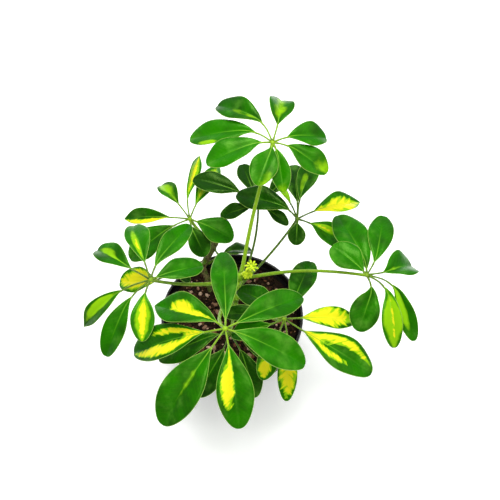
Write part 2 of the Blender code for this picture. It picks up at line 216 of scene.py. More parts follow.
def sweep(bm: bmesh.types.BMesh, points: list[Vector], radii: list[float], sides: int,
          shape: Callable[[float, float], float] | None = None, skin: int = 0,
          tone: float = 0.0) -> None:
    """Extrudes a ring along a line of points and closes both ends.

    Args:
        bm: the mesh that the rod is added to.
        points: centre line, in millimetres.
        radii: the rod's radius at each point, in millimetres.
        sides: how many corners the ring has.
        shape: the radius at an angle and a share of the length, as a share of the plain one.
        skin: material number of the faces.
        tone: how dark and olive the rod is.
    """
    layer = bm.verts.layers.float_vector.get(STALK_TONE)
    layer = layer or bm.verts.layers.float_vector.new(STALK_TONE)
    places = []
    for point, radius, turn in zip(points, radii, frames_along(points)):
        place = Matrix.Translation(point * MM) @ turn.to_4x4() @ Matrix.Scale(radius * MM, 4)
        places.append(place)
    ring = bmesh.ops.create_circle(bm, segments=sides, radius=1.0, cap_ends=True)["verts"]
    edges = list(dict.fromkeys(edge for vert in ring for edge in vert.link_edges))
    bmesh.ops.transform(bm, matrix=places[0], verts=ring)
    rings = [list(ring)]
    for before, after in zip(places, places[1:]):
        grown = bmesh.ops.extrude_edge_only(bm, edges=edges)["geom"]
        fresh = of_kind(grown, bmesh.types.BMVert)
        edges = [edge for edge in of_kind(grown, bmesh.types.BMEdge)
                 if edge.verts[0] in fresh and edge.verts[1] in fresh]
        bmesh.ops.transform(bm, matrix=after @ before.inverted(), verts=fresh)
        rings.append(fresh)
    bmesh.ops.edgeloop_fill(bm, edges=edges)
    faces = faces_round([vert for ring in rings for vert in ring])
    bmesh.ops.recalc_face_normals(bm, faces=faces)
    for face in faces:
        face.material_index = skin
    for number, (ring, centre) in enumerate(zip(rings, points)):
        share = number / (len(rings) - 1)
        middle = centre * MM
        for corner, vert in enumerate(ring):
            vert[layer] = (tone, share, 0.0)
            if shape:
                angle = 2 * pi * corner / sides
                vert.co = middle + (vert.co - middle) * shape(angle, share)


def smooth_line(points: list[Any], steps: int) -> list[Vector]:
    """Points on a smooth curve through the given ones.

    Args:
        points: at least two points that the curve passes through.
        steps: how many steps each span is divided into.

    Returns:
        The points of the curve, ends included.
    """
    knots = [Vector(point) for point in points]
    knots = [2 * knots[0] - knots[1], *knots, 2 * knots[-1] - knots[-2]]
    line = []
    for index in range(1, len(knots) - 2):
        before, start, end, after = knots[index - 1:index + 3]
        for step in range(steps):
            t = step / steps
            line.append(0.5 * (2 * start + (end - before) * t
                               + (2 * before - 5 * start + 4 * end - after) * t**2
                               + (3 * start - before - 3 * end + after) * t**3))
    line.append(knots[-2])
    return line


# ---------------------------------------------------------------- finishes


@dataclass(frozen=True)
class Finish(ABC):
    """A procedural material named for the stuff it stands for."""

    name: str
    roughness: float = 0.5
    specular: float = 0.5
    glint: str = "ffffff"  # tint of the reflection seen head-on

    @abstractmethod
    def pattern(self, add: NodeAdder) -> dict[str, Any]:
        """Adds the finish's nodes.

        Args:
            add: add_node on the material's tree.

        Returns:
            What feeds the shader's inputs, by their names.
        """

    def make(self) -> bpy.types.Material:
        """Makes the material.

        Returns:
            The material, with its pattern linked to its shader.
        """
        material = bpy.data.materials.new(self.name)
        material.use_nodes = True
        tree = material.node_tree
        inputs = tree.nodes["Principled BSDF"].inputs
        inputs["Roughness"].default_value = self.roughness
        inputs["Specular IOR Level"].default_value = self.specular
        inputs["Specular Tint"].default_value = colour(self.glint)
        for name, value in self.pattern(partial(add_node, tree)).items():
            feed(tree, inputs[name], value)
        return material

    def carried(self, add: NodeAdder, layer: str) -> tuple[Any, Any, Any, Any]:
        """Reads an attribute that the piece carries.

        Args:
            add: add_node on the material's tree.
            layer: the attribute's name.

        Returns:
            Its three numbers one by one, and the three as a vector.
        """
        vector = add("Attribute", output="Vector", attribute_name=layer)
        parts = add("SeparateXYZ", vector).node.outputs
        return parts[0], parts[1], parts[2], vector

    def grains(self, add: NodeAdder, size: float, detail: float = 3.0, vector: Any = None,
               stretch: tuple[float, float, float] = (1, 1, 1)) -> Any:
        """Soft grains of a real size.

        Args:
            add: add_node on the material's tree.
            size: their width, in millimetres.
            detail: octaves of finer grains in them.
            vector: a place in millimetres, instead of Object coordinates.
            stretch: how much longer they are along each axis.

        Returns:
            A number about 0.5 that differs from grain to grain.
        """
        scale = 1.0
        if vector is None:
            vector = add("TexCoord", output="Object")
            scale = 1 / MM
        sizes = tuple(scale / part for part in stretch)
        return add("TexNoise", add("Mapping", vector, None, None, sizes), 1 / size, detail)

    def frayed(self, add: NodeAdder, value: Any, grains: Any, amount: float) -> Any:
        """A value made uneven by grains, by half the amount either way."""
        uneven = add("Math", grains, amount, -0.5 * amount, operation="MULTIPLY_ADD")
        return add("Math", value, uneven, operation="ADD")


@dataclass(frozen=True)
class LeafTissue(Finish):
    """Schefflera leaf tissue, with side veins that leave the midrib at a slant."""

    vein_spacing: float = 3.6
    vein_slant: float = 0.8  # how far a vein runs on for each millimetre that it goes aside

    def side_veins(self, add: NodeAdder, along: Any, across: Any) -> tuple[Any, Any, Any]:
        """Lays out the side veins.

        Args:
            add: add_node on the material's tree.
            along: millimetres along the leaflet.
            across: millimetres across it, from the midrib.

        Returns:
            Distance from the midrib, the place where the vein through a spot leaves the midrib,
            and a wave that is 1 on a vein and -1 halfway between two.
        """
        aside = add("Math", across, operation="ABSOLUTE")
        start = add("Math", aside, -self.vein_slant, along, operation="MULTIPLY_ADD")
        phase = add("Math", start, 2 * pi / self.vein_spacing, operation="MULTIPLY")
        return aside, start, add("Math", phase, operation="SINE")


@dataclass(frozen=True)
class LeafCuticle(LeafTissue):
    """Living schefflera leaf, upper side: waxy cuticle over deep green, yellow variegation."""

    vivid: str = "1e6d00"
    dark: str = "0f3a04"
    lime: str = "7fb40c"
    yellow: str = "d2cc1c"
    greenish: str = "a6bc12"
    # painted sheen: the pale green that is painted in blotches where the cuticle's satin highlights
    # would be
    bloom_and_painted_sheen: str = "60a030"
    midrib: str = "6fae26"
    # painted highlight: the pale green painted along the blade's edge, where the edge catches the
    # light
    painted_edge_highlight: str = "9cc455"
    streak_width: float = 3.4  # ragged ends of the yellow sectors
    cloud_size: float = 15.0  # lighter and darker green
    painted_sheen_size: float = 13.0  # blotches of painted sheen
    quilting_depth: float = 1.1

    def pattern(self, add: NodeAdder) -> dict[str, Any]:
        """Green tissue whose ragged yellow sectors run out along the side veins.

        The cuticle gives a soft satin gloss, broken by the faint quilting between the veins. Pale
        blotches of painted sheen and a pale line of painted edge highlight are mixed into the
        colour.

        Args:
            add: add_node on the material's tree.

        Returns:
            Colour, roughness and normal.
        """
        along, across, seed, blade = self.carried(add, BLADE_MM)
        yellow_field, lime_field, darkness, _ = self.carried(add, BLADE_PATTERN)
        share, _, margin_gap, _ = self.carried(add, BLADE_SHAPE)
        aside, vein_start, wave = self.side_veins(add, along, across)
        drawn_out = add("Math", across, 0.5, operation="MULTIPLY")
        along_vein = add("CombineXYZ", vein_start, drawn_out, seed)
        streaks = self.grains(add, self.streak_width, 2.5, along_vein)
        clouds = self.grains(add, self.cloud_size, 4.0, blade)

        depth = self.frayed(add, darkness, clouds, 1.5)
        depth = add("MapRange", depth, 0.0, 1.0, **SMOOTH)
        green = add("Mix", depth, self.vivid, self.dark, **COLOURS)
        vein = add("MapRange", wave, 0.8, 1.0, 0.0, 0.025, **SMOOTH)
        green = add("Mix", vein, green, self.lime, **COLOURS)
        # painted sheen: pale blotches mixed into the green stand in for the cuticle's satin
        # highlights
        painted_sheen_mask = self.grains(add, self.painted_sheen_size, 7.0, blade)
        painted_sheen_mask = add("MapRange", painted_sheen_mask, 0.5, 0.8, 0.0, 0.4, **SMOOTH)
        green = add("Mix", painted_sheen_mask, green, self.bloom_and_painted_sheen, **COLOURS)

        lime_edge = self.frayed(add, lime_field, clouds, 1.8)
        lime_mask = add("MapRange", lime_edge, 0.0, 0.55, **SMOOTH)
        tissue = add("Mix", lime_mask, green, self.lime, **COLOURS)
        fringe = self.frayed(add, yellow_field, streaks, 3.6)
        halo = add("MapRange", fringe, -0.5, -0.1, 0.0, 0.75, **SMOOTH)
        tissue = add("Mix", halo, tissue, self.lime, **COLOURS)
        inner = add("Math", clouds, 0.8, fringe, operation="MULTIPLY_ADD")
        inner = add("MapRange", inner, 0.35, 1.0, **SMOOTH)
        pale = add("Mix", inner, self.greenish, self.yellow, **COLOURS)
        yellow_mask = add("MapRange", fringe, -0.06, 0.22, **SMOOTH)
        tissue = add("Mix", yellow_mask, tissue, pale, **COLOURS)

        rib = add("MapRange", aside, 0.6, 0.2, **SMOOTH)
        fading = add("MapRange", share, 0.85, 0.1, 0.0, 0.5, **SMOOTH)
        rib = add("Math", rib, fading, operation="MULTIPLY")
        tissue = add("Mix", rib, tissue, self.midrib, **COLOURS)
        # painted edge highlight: the colour turns pale within about half a millimetre of the
        # blade's edge
        rim = add("MapRange", margin_gap, 0.55, 0.15, 0.0, 0.75, **SMOOTH)
        tissue = add("Mix", rim, tissue, self.painted_edge_highlight, **COLOURS)
        gloss = add("MapRange", clouds, 0.3, 0.75, self.roughness - 0.05, self.roughness + 0.09,
                    **SMOOTH)
        quilting = add("Math", wave, -0.012, clouds, operation="MULTIPLY_ADD")
        relief = add("Bump", 0.7, self.quilting_depth * MM, None, quilting)
        return {"Base Color": tissue, "Roughness": gloss, "Normal": relief}


@dataclass(frozen=True)
class LeafUnderside(LeafTissue):
    """Living schefflera leaf, lower side: matt and paler, with a raised net of veins."""

    tissue: str = "4f8f22"
    deep: str = "3c7a1c"
    pale: str = "86b84a"
    yellow: str = "d5d860"
    vein_height: float = 0.12

    def pattern(self, add: NodeAdder) -> dict[str, Any]:
        """A duller green than the top, without a cuticle's gloss, and paler along its veins.

        Args:
            add: add_node on the material's tree.

        Returns:
            Colour and normal.
        """
        along, across, seed, _ = self.carried(add, BLADE_MM)
        yellow_field, _, _, _ = self.carried(add, BLADE_PATTERN)
        _, vein_start, wave = self.side_veins(add, along, across)
        clouds = self.grains(add, 4.0, 3.0, add("CombineXYZ", vein_start, across, seed))
        deeper = add("MapRange", clouds, 0.3, 0.8, **SMOOTH)
        green = add("Mix", deeper, self.tissue, self.deep, **COLOURS)
        vein = add("MapRange", wave, 0.7, 1.0, 0.0, 0.5, **SMOOTH)
        green = add("Mix", vein, green, self.pale, **COLOURS)
        patch = add("Math", yellow_field, clouds, operation="ADD")
        patch = add("MapRange", patch, 0.4, 0.8, **SMOOTH)
        green = add("Mix", patch, green, self.yellow, **COLOURS)
        return {"Base Color": green, "Normal": add("Bump", 0.6, self.vein_height * MM, None, wave)}


@dataclass(frozen=True)
class StalkSkin(Finish):
    """Living green stalk: smooth waxy skin over pith, with fine lengthwise fibres."""

    fresh: str = "80a91a"
    olive: str = "37541c"
    pale: str = "a3bf42"
    fibre_width: float = 0.8
    fibre_height: float = 0.1

    def pattern(self, add: NodeAdder) -> dict[str, Any]:
        """Lime green where the stalk is young, dark olive where it is old or shaded.

        Args:
            add: add_node on the material's tree.

        Returns:
            Colour and normal.
        """
        age, along, _, _ = self.carried(add, STALK_TONE)
        fibres = self.grains(add, self.fibre_width, 2.0, stretch=(1.0, 1.0, 6.0))
        ageing = self.frayed(add, age, self.grains(add, 5.0), 0.5)
        ageing = add("MapRange", ageing, 0.0, 1.0, **SMOOTH)
        green = add("Mix", ageing, self.fresh, self.olive, **COLOURS)
        streaks = add("MapRange", fibres, 0.45, 0.75, 0.0, 0.35, **SMOOTH)
        green = add("Mix", streaks, green, self.pale, **COLOURS)
        foot = add("MapRange", along, 0.06, 0.0, 0.0, 0.5, **SMOOTH)
        green = add("Mix", foot, green, self.olive, **COLOURS)
        relief = add("Bump", 0.5, self.fibre_height * MM, None, fibres)
        return {"Base Color": green, "Normal": relief}


@dataclass(frozen=True)
class GreenStemSkin(Finish):
    """Young green stem: smooth bark dotted with pale breathing pores."""

    green: str = "7fae22"
    low: str = "4c6a1f"
    pore: str = "c3cf86"
    pore_density: float = 0.42  # pores for each millimetre
    pore_squash: float = 0.48  # draws the pores out along the stem
    pore_height: float = 0.15

    def pattern(self, add: NodeAdder) -> dict[str, Any]:
        """Yellow-green above, duller and browner at the soil, with pores a millimetre long.

        Args:
            add: add_node on the material's tree.

        Returns:
            Colour and normal.
        """
        _, along, _, _ = self.carried(add, STALK_TONE)
        clouds = self.grains(add, 4.0, 4.0)
        low = add("Math", clouds, -0.5, along, operation="MULTIPLY_ADD")
        low = add("MapRange", low, 0.45, -0.2, **SMOOTH)
        skin = add("Mix", low, self.green, self.low, **COLOURS)
        sizes = (1 / MM, 1 / MM, self.pore_squash / MM)
        place = add("Mapping", add("TexCoord", output="Object"), None, None, sizes)
        cells = add("TexVoronoi", place, self.pore_density)
        pores = add("MapRange", cells, 0.24, 0.14, **SMOOTH)
        skin = add("Mix", pores, skin, self.pore, **COLOURS)
        raised = add("Math", pores, clouds, operation="ADD")
        relief = add("Bump", 0.6, self.pore_height * MM, None, raised)
        return {"Base Color": skin, "Normal": relief}


@dataclass(frozen=True)
class WoodyBark(Finish):
    """Corky bark of an older shoot: grey-brown ridges over an olive green ground."""

    ground: str = "586427"
    ridge: str = "776a44"
    furrow: str = "332d19"
    ridge_width: float = 0.9
    ridge_height: float = 0.4

    def pattern(self, add: NodeAdder) -> dict[str, Any]:
        """Matt, with ridges a millimetre wide that run along the stem.

        Args:
            add: add_node on the material's tree.

        Returns:
            Colour and normal.
        """
        ridges = self.grains(add, self.ridge_width, 5.0, stretch=(1.0, 1.0, 4.0))
        corky = add("MapRange", self.grains(add, 5.0), 0.4, 0.62, **SMOOTH)
        bark = add("Mix", corky, self.ground, self.ridge, **COLOURS)
        deep = add("MapRange", ridges, 0.52, 0.36, **SMOOTH)
        bark = add("Mix", deep, bark, self.furrow, **COLOURS)
        relief = add("Bump", 0.9, self.ridge_height * MM, None, ridges)
        return {"Base Color": bark, "Normal": relief}


@dataclass(frozen=True)
class ShootSkin(Finish):
    """Unopened young leaflets: soft tissue that hasn't greened yet."""

    young: str = "c9dc2a"
    deep: str = "7fa816"
    fleck_size: float = 1.6
    fleck_height: float = 0.12

    def pattern(self, add: NodeAdder) -> dict[str, Any]:
        """Bright yellow-green with greener flecks, slightly moist.

        Args:
            add: add_node on the material's tree.

        Returns:
            Colour and normal.
        """
        flecks = self.grains(add, self.fleck_size)
        greener = add("MapRange", flecks, 0.42, 0.68, **SMOOTH)
        tissue = add("Mix", greener, self.young, self.deep, **COLOURS)
        relief = add("Bump", 0.5, self.fleck_height * MM, None, flecks)
        return {"Base Color": tissue, "Normal": relief}


@dataclass(frozen=True)
class MouldedPlastic(Finish):
    """Injection-moulded recycled polypropylene of a nursery pot."""

    plastic: str = "121013"
    bloom_and_painted_sheen: str = "2a282c"
    soil_dust: str = "4a3a2c"
    grain_size: float = 0.5
    grain_height: float = 0.05

    def pattern(self, add: NodeAdder) -> dict[str, Any]:
        """Near-black with a satin skin, a grey bloom of handling and specks of soil dust.

        Args:
            add: add_node on the material's tree.

        Returns:
            Colour, roughness and normal.
        """
        handling = self.grains(add, 14.0, 5.0, stretch=(1.0, 1.0, 0.5))
        worn = add("MapRange", handling, 0.5, 0.85, 0.0, 0.4, **SMOOTH)
        skin = add("Mix", worn, self.plastic, self.bloom_and_painted_sheen, **COLOURS)
        specks = add("MapRange", self.grains(add, 1.8, 4.0), 0.66, 0.76, 0.0, 0.6, **SMOOTH)
        skin = add("Mix", specks, skin, self.soil_dust, **COLOURS)
        gloss = add("MapRange", handling, 0.3, 0.8, self.roughness - 0.06, self.roughness + 0.16,
                    **SMOOTH)
        grain = self.grains(add, self.grain_size, 2.0)
        relief = add("Bump", 0.5, self.grain_height * MM, None, grain)
        return {"Base Color": skin, "Roughness": gloss, "Normal": relief}


@dataclass(frozen=True)
class PottingMix(Finish):
    """Crumbs of moist peat, composted bark or pumice, each with a tone of its own."""

    dark: str = "150a03"
    light: str = "422b17"
    fibre_width: float = 0.8
    fibre_height: float = 0.5

    def pattern(self, add: NodeAdder) -> dict[str, Any]:
        """Matt and fibrous; the tone of each crumb runs from dark to light.

        Args:
            add: add_node on the material's tree.

        Returns:
            Colour and normal.
        """
        tone, _, _, _ = self.carried(add, CRUMB_TONE)
        fibres = self.grains(add, self.fibre_width, 5.0)
        share = add("MapRange", self.frayed(add, tone, fibres, 0.8), 0.0, 1.0, **SMOOTH)
        crumb = add("Mix", share, self.dark, self.light, **COLOURS)
        relief = add("Bump", 0.9, self.fibre_height * MM, None, fibres)
        return {"Base Color": crumb, "Normal": relief}


@dataclass(frozen=True)
class PaintedBoard(Finish):
    """Pale matt paint of the studio floor."""

    paint: str = "fcfcfc"
    mottle: str = "fafafb"
    mottle_size: float = 60.0
    glow: float = 0.24

    def pattern(self, add: NodeAdder) -> dict[str, Any]:
        """Almost white, with the faintest roller mottle, and lit a little from within.

        Args:
            add: add_node on the material's tree.

        Returns:
            Colour and glow.
        """
        rolled = add("MapRange", self.grains(add, self.mottle_size), 0.3, 0.7, 0.0, 0.5, **SMOOTH)
        paint = add("Mix", rolled, self.paint, self.mottle, **COLOURS)
        return {"Base Color": paint, "Emission Color": self.paint, "Emission Strength": self.glow}


@dataclass
class Finishes:
    """Every finish of the plant, each made once."""

    leaf_top: bpy.types.Material = field(
        default_factory=LeafCuticle("waxy_leaf_cuticle", 0.3, 0.36, "96cc58").make)
    leaf_under: bpy.types.Material = field(
        default_factory=LeafUnderside("matt_leaf_underside", 0.6, 0.25, "b4e07a").make)
    stalk: bpy.types.Material = field(
        default_factory=StalkSkin("waxy_green_stalk_skin", 0.38, 0.35, "d2e69a").make)
    green_stem: bpy.types.Material = field(
        default_factory=GreenStemSkin("smooth_green_stem_bark", 0.45, 0.35, "d2e69a").make)
    bark: bpy.types.Material = field(default_factory=WoodyBark("corky_bark", 0.8, 0.25).make)
    shoot: bpy.types.Material = field(
        default_factory=ShootSkin("young_shoot_tissue", 0.4, 0.35, "e6f08c").make)
    plastic: bpy.types.Material = field(
        default_factory=MouldedPlastic("moulded_black_polypropylene", 0.38, 0.4).make)
    peat: bpy.types.Material = field(
        default_factory=PottingMix("moist_peat", 0.95, 0.2).make)
    chips: bpy.types.Material = field(
        default_factory=PottingMix("composted_bark_chips", 0.85, 0.2, dark="3a2114",
                                   light="8a5a3c").make)
    pumice: bpy.types.Material = field(
        default_factory=PottingMix("crushed_pumice", 0.9, 0.3, dark="86624c",
                                   light="cfae98").make)
    board: bpy.types.Material = field(
        default_factory=PaintedBoard("pale_painted_board", 0.85, 0.1).make)


# ---------------------------------------------------------------- leaflets


NO_PATCH = -3.0  # the depth written where a leaflet has no patch near


@dataclass(frozen=True)
class Patch:
    """An oval sector of paler tissue, in shares of a leaflet's length and half width."""

    along: float
    reach: float
    across: float
    spread: float
    strength: float = 1.0  # under one fades out before its edge

    def depth(self, share: float, aside: float) -> float:
        """Its strength in the middle of the patch, 0 on its edge and negative outside it."""
        away = ((share - self.along) / self.reach) ** 2 + ((aside - self.across) / self.spread) ** 2
        return self.strength * (1.0 - away)


@dataclass(frozen=True)
class Pattern:
    """Where a leaflet is yellow and lime, and how dark its green is."""

    yellow: tuple[Patch, ...] = ()
    lime: tuple[Patch, ...] = ()
    darkness: float = 0.38
    halo: float = 0.3  # how far lime reaches round the yellow

    def fields(self, share: float, aside: float) -> tuple[float, float]:
        """How deep a spot lies in the patches.

        Args:
            share: place along the blade, from 0 to 1.
            aside: place across the blade, from -1 to 1.

        Returns:
            Its depth in the yellow patches and in the lime ones.
        """
        yellow = max([patch.depth(share, aside) for patch in self.yellow], default=NO_PATCH)
        lime = max([patch.depth(share, aside) for patch in self.lime], default=NO_PATCH)
        return max(yellow, NO_PATCH), max(lime, yellow + self.halo, NO_PATCH)


class Variegation(Enum):
    """The ways in which a leaflet of this plant is coloured."""

    PLAIN = Pattern()
    BRIGHT = Pattern(darkness=0.12)
    SHADED = Pattern(darkness=0.7)
    DARK = Pattern(darkness=1.0)
    LIME_TIP = Pattern(lime=(Patch(1.0, 0.26, 0.3, 1.0, 0.2),), darkness=0.25)
    LIME_RIB = Pattern(lime=(Patch(0.3, 0.36, 0.0, 0.16, 0.28),), darkness=0.4)
    LIME_HEART = Pattern(lime=(Patch(0.6, 0.5, 0.08, 0.62, 0.55),), darkness=0.5)
    LIME_DUSK = Pattern(lime=(Patch(0.36, 0.3, 0.2, 0.3, 0.4),), darkness=0.65)
    LIME_WASH = Pattern(lime=(Patch(0.5, 0.62, 0.0, 1.2),), darkness=0.4)
    YELLOW_FOOT = Pattern(yellow=(Patch(0.3, 0.3, 0.04, 0.2), Patch(0.54, 0.17, -0.14, 0.34)),
                          darkness=0.5)
    YELLOW_LOBES = Pattern(yellow=(Patch(0.35, 0.29, -0.52, 0.18), Patch(0.56, 0.42, 0.45, 0.3),
                                   Patch(0.12, 0.14, 0.0, 0.45)), darkness=0.45)
    YELLOW_STREAK = Pattern(yellow=(Patch(0.3, 0.32, -0.18, 0.2), Patch(0.5, 0.22, -0.46, 0.3)),
                            darkness=0.4)
    LIME_STREAK = Pattern(yellow=(Patch(0.36, 0.22, 0.22, 0.12),),
                          lime=(Patch(0.42, 0.42, 0.26, 0.32),), darkness=0.35)
    LIME_NOTCH = Pattern(lime=(Patch(0.7, 0.24, -0.2, 0.34, 0.7), Patch(0.35, 0.4, 0.0, 0.14, 0.5)),
                         darkness=0.4)
    LIME_FLUSH = Pattern(yellow=(Patch(0.55, 0.36, 0.1, 0.12),),
                         lime=(Patch(0.5, 0.56, 0.05, 0.95),), darkness=0.3)
    LIME_EDGE = Pattern(lime=(Patch(0.68, 0.16, 0.85, 0.24, 0.8),), darkness=0.12)
    LIME_SIDE = Pattern(lime=(Patch(0.42, 0.42, -0.25, 0.5, 0.8),), darkness=0.45)
    YELLOW_FULL = Pattern(yellow=(Patch(0.42, 0.5, 0.05, 0.84),), darkness=0.5)
    YELLOW_BANDS = Pattern(yellow=(Patch(0.55, 0.36, 0.58, 0.2), Patch(0.36, 0.26, -0.46, 0.2),
                                   Patch(0.13, 0.17, 0.1, 0.5), Patch(0.32, 0.18, 0.42, 0.22)),
                           darkness=0.45)
    YELLOW_CORE = Pattern(yellow=(Patch(0.46, 0.5, 0.0, 0.7),), darkness=0.5)
    YELLOW_TIP = Pattern(yellow=(Patch(0.76, 0.2, -0.1, 0.55),), darkness=0.55)
    YELLOW_LOWER = Pattern(yellow=(Patch(0.46, 0.46, -0.35, 0.72),), darkness=0.4)
    YELLOW_STRIP = Pattern(yellow=(Patch(0.45, 0.5, 0.72, 0.36),), darkness=0.55)
    YELLOW_GLOW = Pattern(yellow=(Patch(0.5, 0.42, 0.0, 0.3),), lime=(Patch(0.5, 0.6, 0.0, 0.7),),
                          darkness=0.2)


@dataclass(frozen=True)
class Leaflet:
    """One blade of a compound leaf on its own little stalk, on the CAD part's centre line."""

    azimuth: float
    turn: float
    pitch: float
    stalk: float
    length: float
    width: float
    droop: float = 22.0
    fold: float = 14.0
    roll: float = 0.0
    colours: Variegation = Variegation.PLAIN
    tip: float = 0.5  # how pointed the tip is: half is round, over one is drawn out

    stride: ClassVar[float] = 1.0  # step in which the centre line is walked

    def direction(self, walked: float) -> tuple[float, float]:
        """Where the centre line heads.

        Args:
            walked: distance from the hub, in millimetres.

        Returns:
            Azimuth and pitch, in degrees.
        """
        swing_start = 0.5 * self.stalk
        swing_length = 0.5 * self.stalk + 0.25 * self.length
        swung = min(1.0, max(0.0, (walked - swing_start) / swing_length))
        bend = self.droop * (0.5 - walked / (self.stalk + self.length))
        return self.azimuth + self.turn * swung, self.pitch + bend

    def spine(self, hub: Vector, stops: list[float]) -> list[tuple[Vector, float, float]]:
        """Places along the centre line.

        Args:
            hub: where the leaflets meet, in millimetres.
            stops: distances from the hub, rising, in millimetres.

        Returns:
            Point, azimuth and pitch at each distance.
        """
        places, centre, walked = [], hub.copy(), 0.0
        for stop in stops:
            while walked < stop - 1e-6:
                step = min(self.stride, stop - walked)
                centre = centre + heading(*self.direction(walked + step / 2)) * step
                walked += step
            places.append((centre.copy(), *self.direction(stop)))
        return places

    def half_width(self, share: float) -> float:
        """Half the blade's width: a wedge-shaped foot that swells to a rounded tip."""
        skewed = sin(pi * min(share, 1.0) ** 1.28)
        return 0.5 * self.width * max(skewed, 0.0) ** mix(0.84, self.tip, share ** 2)


@dataclass
class BladeMaker:
    """Shapes one leaflet's blade, its stalk and the rib under it into a whorl's mesh."""

    bm: bmesh.types.BMesh
    hub: Vector
    seed: int
    age: float
    columns: int = 30
    rows: int = 12
    thickness: float = 0.34
    stalk_radius: float = 0.72
    top_skin: int = 0
    under_skin: int = 1
    stalk_skin: int = 2

    lift: ClassVar[float] = 0.35  # how far the blade lies above its centre line
    foot_half_width: ClassVar[float] = 0.35
    tip_half_width: ClassVar[float] = 0.02
    tip_weld: ClassVar[float] = 0.05  # the tip's corners are merged within this distance
    pattern_gap: ClassVar[float] = 40.0  # keeps the streaks of two leaflets from being the same
    tint_range: ClassVar[float] = 0.12  # how much darker or lighter one leaflet is than another
    rib_reach: ClassVar[float] = 0.86  # share of the blade that the rib runs along
    rib_sink: ClassVar[float] = 0.45  # how far the rib lies below the centre line
    rib_steps: ClassVar[int] = 18
    rib_sides: ClassVar[int] = 8
    stalk_ageing: ClassVar[float] = 0.25  # a leaflet's stalk is more olive than the petiole

    def cross_section(self, leaflet: Leaflet, share: float, aside: float, half: float,
                      phase: float) -> tuple[float, float]:
        """Shape of the blade across its width.

        Args:
            leaflet: the leaflet's sizes.
            share: place along the blade, from 0 to 1.
            aside: place across the blade, from -1 to 1.
            half: half its width there, in millimetres.
            phase: where the margin's waves begin.

        Returns:
            Distance from the midrib and height above it, in millimetres.
        """
        spread = abs(aside)
        fold = radians(leaflet.fold)
        rise = half * (spread ** 1.25) * sin(fold)
        crown = 0.15 * half * sin(pi * spread) * (1.0 - 0.7 * share)
        waves = 0.075 * half * spread ** 2 * sin(2 * pi * (1.7 * share) + phase + aside)
        groove = -0.28 * bell(aside * half, 0.0, 0.55) * (1.0 - 0.6 * share)
        return aside * half * cos(fold * spread), rise + crown + waves + groove

    def blade(self, leaflet: Leaflet, draw: random.Random) -> None:
        """A thin, slightly folded blade with its colour fields written on its vertices.

        Args:
            leaflet: the leaflet's sizes and colours.
            draw: source of its random numbers.
        """
        made = bmesh.ops.create_grid(self.bm, x_segments=self.columns, y_segments=self.rows,
                                     size=1.0)["verts"]
        size_layer, pattern_layer, shape_layer = (
            self.bm.verts.layers.float_vector[name]
            for name in (BLADE_MM, BLADE_PATTERN, BLADE_SHAPE))
        shares = [sin(0.5 * pi * step / self.columns) ** 1.15 for step in range(self.columns + 1)]
        places = leaflet.spine(self.hub, [leaflet.stalk + leaflet.length * s for s in shares])
        phase = draw.uniform(0, 2 * pi)
        pattern = leaflet.colours.value
        darkness = pattern.darkness + draw.uniform(-self.tint_range, self.tint_range)
        for vert in made:
            column = round((vert.co.x + 1.0) / 2.0 * self.columns)
            aside, share = vert.co.y, shares[column]
            centre, azimuth, pitch = places[column]
            narrowest = self.foot_half_width if share < 0.5 else self.tip_half_width
            half = max(leaflet.half_width(share), narrowest)
            level = heading(azimuth + 90.0, 0.0)
            up = heading(azimuth, pitch).cross(level)
            roll = radians(leaflet.roll) * min(1.0, share * 3.0)
            across = level * cos(roll) + up * sin(roll)
            normal = up * cos(roll) - level * sin(roll)
            reach, rise = self.cross_section(leaflet, share, aside, half, phase)
            vert.co = (centre + across * reach + normal * (rise + self.lift)) * MM
            vert[size_layer] = (share * leaflet.length, aside * half, self.pattern_gap * self.seed)
            vert[pattern_layer] = (*pattern.fields(share, aside), darkness)
            vert[shape_layer] = (share, aside, (1.0 - abs(aside)) * half)
        faces = faces_round(made)
        for face in faces:
            face.material_index = self.top_skin
        shell = bmesh.ops.solidify(self.bm, geom=faces, thickness=self.thickness * MM)["geom"]
        for face in of_kind(shell, bmesh.types.BMFace):
            face.material_index = self.under_skin
        both_sides = [*(vert for face in faces for vert in face.verts),
                      *of_kind(shell, bmesh.types.BMVert)]
        tip = [vert for vert in dict.fromkeys(both_sides) if vert[shape_layer][0] > 0.999]
        bmesh.ops.remove_doubles(self.bm, verts=tip, dist=self.tip_weld * MM)

    def stalk(self, leaflet: Leaflet) -> None:
        """The little stalk, thick at both ends, which runs on as the rib under the blade.

        Args:
            leaflet: the leaflet's sizes.
        """
        whole = leaflet.stalk + self.rib_reach * leaflet.length
        stops = [whole * (step / self.rib_steps) ** 0.9 for step in range(self.rib_steps + 1)]
        line, radii = [], []
        for stop, (centre, azimuth, pitch) in zip(stops, leaflet.spine(self.hub, stops)):
            into = (stop - leaflet.stalk) / leaflet.length
            up = heading(azimuth, pitch).cross(heading(azimuth + 90.0, 0.0))
            line.append(centre - up * self.rib_sink * smoothstep(-0.1, 0.08, into))
            swell = 1.0 + 0.5 * bell(stop, 2.2, 1.8) + 0.22 * bell(stop, leaflet.stalk, 1.6)
            radii.append(self.stalk_radius * swell * mix(1.0, 0.3, smoothstep(0.0, 0.8, into)))
        sweep(self.bm, line, radii, self.rib_sides, skin=self.stalk_skin,
              tone=self.age + self.stalk_ageing)

    def add(self, leaflet: Leaflet) -> None:
        """Adds one leaflet."""
        self.seed += 1
        self.blade(leaflet, random.Random(self.seed))
        self.stalk(leaflet)


def whorl_mesh() -> bmesh.types.BMesh:
    """An empty mesh with the attributes that leaflets carry."""
    bm = bmesh.new()
    for name in (BLADE_MM, BLADE_PATTERN, BLADE_SHAPE, STALK_TONE):
        bm.verts.layers.float_vector.new(name)
    return bm


